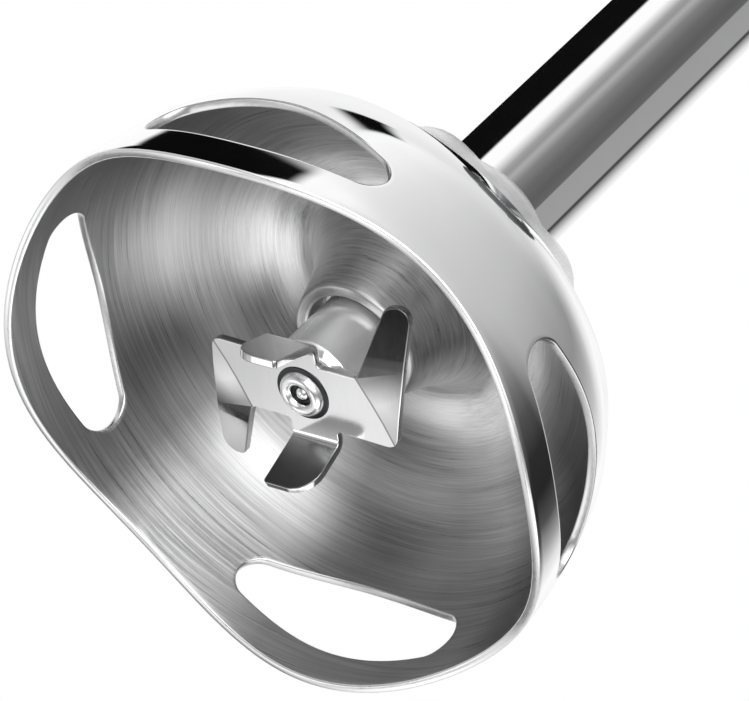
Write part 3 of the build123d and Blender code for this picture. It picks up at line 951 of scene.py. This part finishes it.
# ---------------------------------------------------------------- studio
@dataclass(frozen=True)
class Studio:
    """Camera, pale floor and the soft white surround with its dark screens."""

    target: tuple[float, float, float] = (5.83, 8.66, 12.70)
    azimuth: float = 43.40
    elevation: float = -39.49
    roll: float = 45.66
    distance: float = 452.0
    lens: float = 189.0
    strength: float = 1.09
    lamp_gain: float = 4.0
    screen_radius: float = 16.0

    def camera(self) -> None:
        """Long-lens camera that looks up into the bell."""
        side, tip = math.radians(self.azimuth), math.radians(self.elevation)
        out = Vector((math.cos(tip) * math.cos(side), math.cos(tip) * math.sin(side), math.sin(tip)))
        right = Vector((0, 0, 1)).cross(out).normalized()
        up = out.cross(right)
        turn = math.radians(self.roll)
        right, up = right * math.cos(turn) + up * math.sin(turn), up * math.cos(turn) - right * math.sin(turn)
        data = bpy.data.cameras.new("camera")
        data.lens, data.sensor_width, data.clip_start, data.clip_end = self.lens, 36.0, 0.01, 50.0
        camera = bpy.data.objects.new("camera", data)
        spot = (Vector(self.target) + out * self.distance) * MM
        camera.matrix_world = Matrix.Translation(spot) @ Matrix((right, up, out)).transposed().to_4x4()
        bpy.context.scene.collection.objects.link(camera)
        bpy.context.scene.camera = camera

    def floor(self) -> None:
        """Pale floor that is seen from above only."""
        Bench.clear()
        bpy.ops.mesh.primitive_plane_add(size=6.0, location=(0, 0, 0))
        plane = bpy.context.object
        plane.name = "pale_floor"
        pale = bpy.data.materials.new("pale_floor")
        pale.use_nodes = True
        graph = Graph(pale.node_tree)
        shader = pale.node_tree.nodes["Principled BSDF"]
        shader.inputs["Base Color"].default_value = (0.82, 0.82, 0.82, 1)
        shader.inputs["Roughness"].default_value = 0.6
        graph.join(graph.one_sided(shader.outputs[0]), pale.node_tree.nodes["Material Output"].inputs[0])
        plane.data.materials.append(pale)
        plane.visible_glossy = plane.visible_diffuse = plane.visible_shadow = plane.visible_transmission = False

    def tube_screen(self) -> None:
        """Round screen about the tube, seen only as the dark and light bands that the tube mirrors."""
        Bench.clear()
        bpy.ops.mesh.primitive_cylinder_add(vertices=180, radius=self.screen_radius * MM, depth=0.102,
                                            end_fill_type="NOTHING")
        screen = bpy.context.object
        screen.name = "tube_screen"
        bpy.ops.object.mode_set(mode="EDIT")
        bpy.ops.mesh.select_all(action="SELECT")
        bpy.ops.transform.translate(value=(0, 0, 0.105))
        bpy.ops.mesh.normals_make_consistent(inside=True)
        bpy.ops.object.mode_set(mode="OBJECT")
        bands = bpy.data.materials.new("screen_bands")
        bands.use_nodes = True
        bands.node_tree.nodes.clear()
        graph = Graph(bands.node_tree)
        x, y, _ = graph.axes()
        stripes = graph.ramp(self._bearing(graph, x, y), self._stops(
            (-180, 0.5), (-150, 0.004), (-57, 0.004), (-54, 1.0), (-37, 1.0), (-22.6, 0.36), (-17, 0.3),
            (-11.7, 0.42), (-2.2, 0.22), (11, 0.14), (25, 0.11), (36.5, 0.13), (38, 0.33), (72.5, 0.34),
            (74, 0.06), (77.5, 0.06), (82, 0.3), (97, 0.75), (118, 1.0), (150, 1.0), (180, 0.5)))
        glow = graph.add("ShaderNodeEmission")
        graph.join(stripes, glow.inputs[0])
        glow.inputs[1].default_value = self.strength
        graph.join(graph.one_sided(glow.outputs[0]), graph.add("ShaderNodeOutputMaterial").inputs[0])
        screen.data.materials.append(bands)
        screen.visible_camera = screen.visible_diffuse = screen.visible_shadow = screen.visible_transmission = False

    def _bearing(self, graph: Graph, x: Socket, y: Socket) -> Socket:
        """Direction round the shaft axis as a share of a turn, 0.5 towards the camera."""
        side = math.radians(self.azimuth)
        ahead = graph.math("ADD", graph.math("MULTIPLY", x, math.cos(side)),
                           graph.math("MULTIPLY", y, math.sin(side)))
        across = graph.math("SUBTRACT", graph.math("MULTIPLY", y, math.cos(side)),
                            graph.math("MULTIPLY", x, math.sin(side)))
        degrees = graph.math("DEGREES", graph.math("ARCTAN2", across, ahead))
        return graph.math("DIVIDE", graph.math("ADD", degrees, 180.0), 360.0)

    def _above(self, graph: Graph, bearing: Socket, turned: Socket, height: Socket) -> Socket:
        """Light from above the horizon: white walls, a softer ceiling and two near-black screens.

        Args:
            graph: node tree of the world.
            bearing: direction round the shaft as a share of a turn.
            turned: the same direction in degrees from the camera.
            height: degrees above the horizon.
        Returns:
            The colour of the light.
        """
        walls = graph.ramp(bearing, self._stops(
            (-180, 0.85), (-160, 0.95), (-58, 1.0), (-40, 0.96), (-25, 0.78), (-10, 0.69), (10, 0.6),
            (30, 0.46), (45, 0.28), (55, 0.16), (65, 0.08), (80, 0.025), (95, 0.02), (108, 0.08), (120, 0.35),
            (132, 0.75), (145, 0.96), (160, 0.9), (180, 0.85)))
        overhead = graph.ramp(bearing, self._stops(
            (-180, 0.87), (-150, 0.9), (-100, 0.86), (-70, 0.97), (-50, 0.88), (-30, 0.75), (-10, 0.65),
            (10, 0.58), (30, 0.52), (50, 0.42), (70, 0.32), (85, 0.28), (100, 0.38), (115, 0.52), (130, 0.75),
            (150, 0.95), (165, 0.84), (180, 0.87)))
        upper = graph.blend(graph.remap(height, 46.0, 52.0, 0.0, 1.0, True), walls, overhead)
        upper = graph.blend(graph.remap(height, 66.0, 86.0, 0.0, 0.8, True), upper, (0.72, 0.72, 0.72, 1.0))
        long_screen = graph.math("MULTIPLY", graph.window(turned, -130.0, -58.0, 3.5),
                                 graph.window(height, 18.0, 48.0, 3.0))
        short_screen = graph.math("MULTIPLY", graph.window(turned, -116.0, -78.0, 3.0),
                                  graph.window(height, 61.5, 70.0, 2.0))
        return graph.blend(graph.math("MAXIMUM", long_screen, short_screen), upper, (0.003, 0.003, 0.003, 1.0))

    def _below(self, graph: Graph, bearing: Socket, turned: Socket, height: Socket) -> Socket:
        """Light from below the horizon: soft lamps, and one that stands behind the object.

        Args:
            graph: node tree of the world.
            bearing: direction round the shaft as a share of a turn.
            turned: the same direction in degrees from the camera.
            height: degrees above the horizon.
        Returns:
            The colour of the light.
        """
        far = graph.ramp(bearing, self._stops(
            (-180, 0.15), (-130, 0.1), (-90, 0.08), (-60, 0.15), (-48, 0.45), (-30, 0.7), (-5, 1.0), (14, 0.9),
            (24, 0.4), (45, 0.08), (60, 0.06), (80, 0.25), (95, 0.45), (110, 0.3), (130, 0.1), (180, 0.15)))
        middle = graph.ramp(bearing, self._stops(
            (-180, 0.22), (-130, 0.16), (-100, 0.09), (-70, 0.05), (-50, 0.2), (-30, 0.6), (-5, 0.9),
            (14, 0.8), (28, 0.35), (45, 0.08), (60, 0.03), (75, 0.17), (95, 0.46), (120, 0.43), (145, 0.23),
            (180, 0.22)))
        steep = graph.ramp(bearing, self._stops(
            (-180, 0.57), (-150, 0.5), (-120, 0.15), (-70, 0.03), (-20, 0.3), (0, 0.4), (30, 0.2), (60, 0.03),
            (110, 0.09), (150, 0.45), (180, 0.57)))
        lower = graph.blend(graph.remap(height, -52.0, -44.0, 1.0, 0.0, True), middle, steep)
        lower = graph.blend(graph.remap(height, -86.0, -68.0, 1.0, 0.0, True), lower, (0.04, 0.04, 0.04, 1.0))
        lower = graph.blend(graph.remap(height, -30.0, -18.0, 0.0, 1.0, True), lower, far)
        column = graph.ramp(graph.remap(height, -90.0, 0.0, 0.0, 1.0), [
            ((90 + tilt) / 90, grey / self.lamp_gain) for tilt, grey in (
                (-80, 0.05), (-64, 0.05), (-55, 0.3), (-47, 0.6), (-40, 0.85), (-33, 0.8), (-26, 0.4),
                (-17, 0.03), (-6, 0.1))])
        behind = graph.math("ABSOLUTE", turned)
        lower = graph.blend(graph.remap(behind, 160.0, 168.0, 0.0, 1.0, True), lower, column)
        return graph.scaled(lower, self.lamp_gain)

    def surround(self) -> None:
        """White studio with dark screens, as the polished steel mirrors it."""
        world = bpy.data.worlds.new("studio")
        bpy.context.scene.world = world
        world.use_nodes = True
        world.node_tree.nodes.clear()
        graph = Graph(world.node_tree)
        x, y, z = graph.axes("Generated")
        bearing = self._bearing(graph, x, y)
        height = graph.math("DEGREES", graph.math("ARCSINE", z))
        turned = graph.math("SUBTRACT", graph.math("MULTIPLY", bearing, 360.0), 180.0)
        upper = self._above(graph, bearing, turned, height)
        lower = self._below(graph, bearing, turned, height)
        around = graph.blend(graph.remap(height, -10.0, 8.0, 0.0, 1.0, True), lower, upper)
        light = graph.add("ShaderNodeBackground")
        graph.join(around, light.inputs[0])
        light.inputs[1].default_value = self.strength
        plain = graph.add("ShaderNodeBackground")
        plain.inputs[0].default_value = (1, 1, 1, 1)
        mix = graph.add("ShaderNodeMixShader")
        graph.join(graph.add("ShaderNodeLightPath").outputs["Is Camera Ray"], mix.inputs[0])
        graph.join(light.outputs[0], mix.inputs[1])
        graph.join(plain.outputs[0], mix.inputs[2])
        graph.join(mix.outputs[0], graph.add("ShaderNodeOutputWorld").inputs[0])

    @staticmethod
    def _stops(*pairs: Point) -> list[Point]:
        """Ramp stops from (bearing in degrees, brightness)."""
        return [((bearing + 180) / 360, grey) for bearing, grey in pairs]

    def build(self) -> None:
        """Sets up the whole studio."""
        self.camera()
        self.floor()
        self.tube_screen()
        self.surround()
        view = bpy.context.scene.view_settings
        view.view_transform, view.look = "Standard", "None"


def main() -> None:
    """Builds each sub-assembly in order."""
    logging.basicConfig(level=logging.INFO, format="%(name)s: %(message)s")
    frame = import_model()
    BellGuard().build()
    Shaft().build()
    BladeDrive().build()
    MotorUnit().build(frame)
    Studio().build()


if __name__ == "__main__":
    main()
